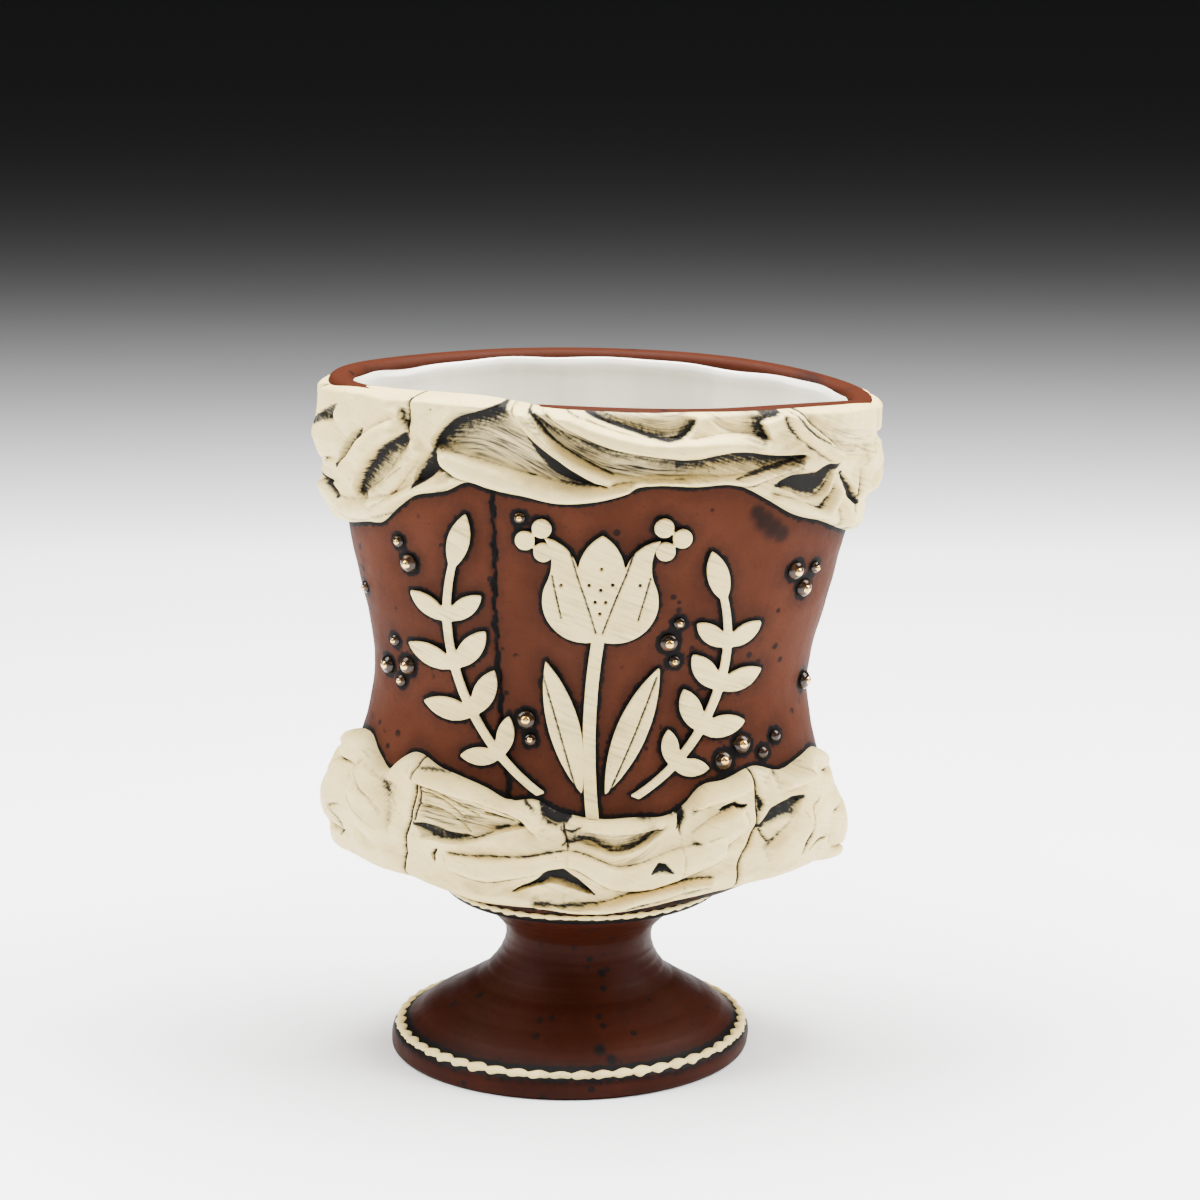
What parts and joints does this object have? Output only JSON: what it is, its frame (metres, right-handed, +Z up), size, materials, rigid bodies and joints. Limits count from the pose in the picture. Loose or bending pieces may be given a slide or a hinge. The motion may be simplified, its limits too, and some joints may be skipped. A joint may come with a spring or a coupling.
{
  "type": "footed ceramic cup",
  "caption": "Footed oval clay cup with a flared wall, folded cream clay bands round rim and base, a flat sprig and small gilt beads.",
  "frame": {"origin": "on the ground under the middle of the cup's outline", "axes": "+Z up; the decorated front faces -Y; +X to the right across the wide way of the oval"},
  "size_m": [0.101, 0.0651, 0.1229],
  "materials": {
    "red_clay": "matt fired red clay with a thin dark wash",
    "foot_clay": "satin darker red clay with dark specks",
    "cream_slip": "satin cream clay with black wash in its folds",
    "white_glaze": "glossy white glaze",
    "dark_glaze": "glossy near-black glaze",
    "gilt": "burnished gold lustre"
  },
  "bodies": {
    "root": {"foot": "foot_clay", "cup_wall": "red_clay", "bowl_floor": "red_clay", "glaze_lining": "white_glaze", "rim_fold_left_end": "cream_slip", "rim_fold_left_front": "cream_slip", "rim_fold_middle_front": "cream_slip", "rim_fold_right_front": "cream_slip", "rim_fold_right_end": "cream_slip", "rim_fold_right_back": "cream_slip", "rim_fold_middle_back": "cream_slip", "rim_fold_left_back": "cream_slip", "waist_fold_left_end": "cream_slip", "waist_fold_left_front": "cream_slip", "waist_fold_middle_front": "cream_slip", "waist_fold_right_front": "cream_slip", "waist_fold_right_end": "cream_slip", "waist_fold_right_back": "cream_slip", "waist_fold_middle_back": "cream_slip", "waist_fold_left_back": "cream_slip", "foot_edge_trim": "cream_slip", "collar_trim": "cream_slip", "tulip": "cream_slip", "tulip_stem": "cream_slip", "tulip_leaves": "cream_slip", "laurel_left": "cream_slip", "laurel_right": "cream_slip", "berries": "cream_slip", "beads": "dark_glaze", "gilt_caps": "gilt"}
  },
  "joints": []
}
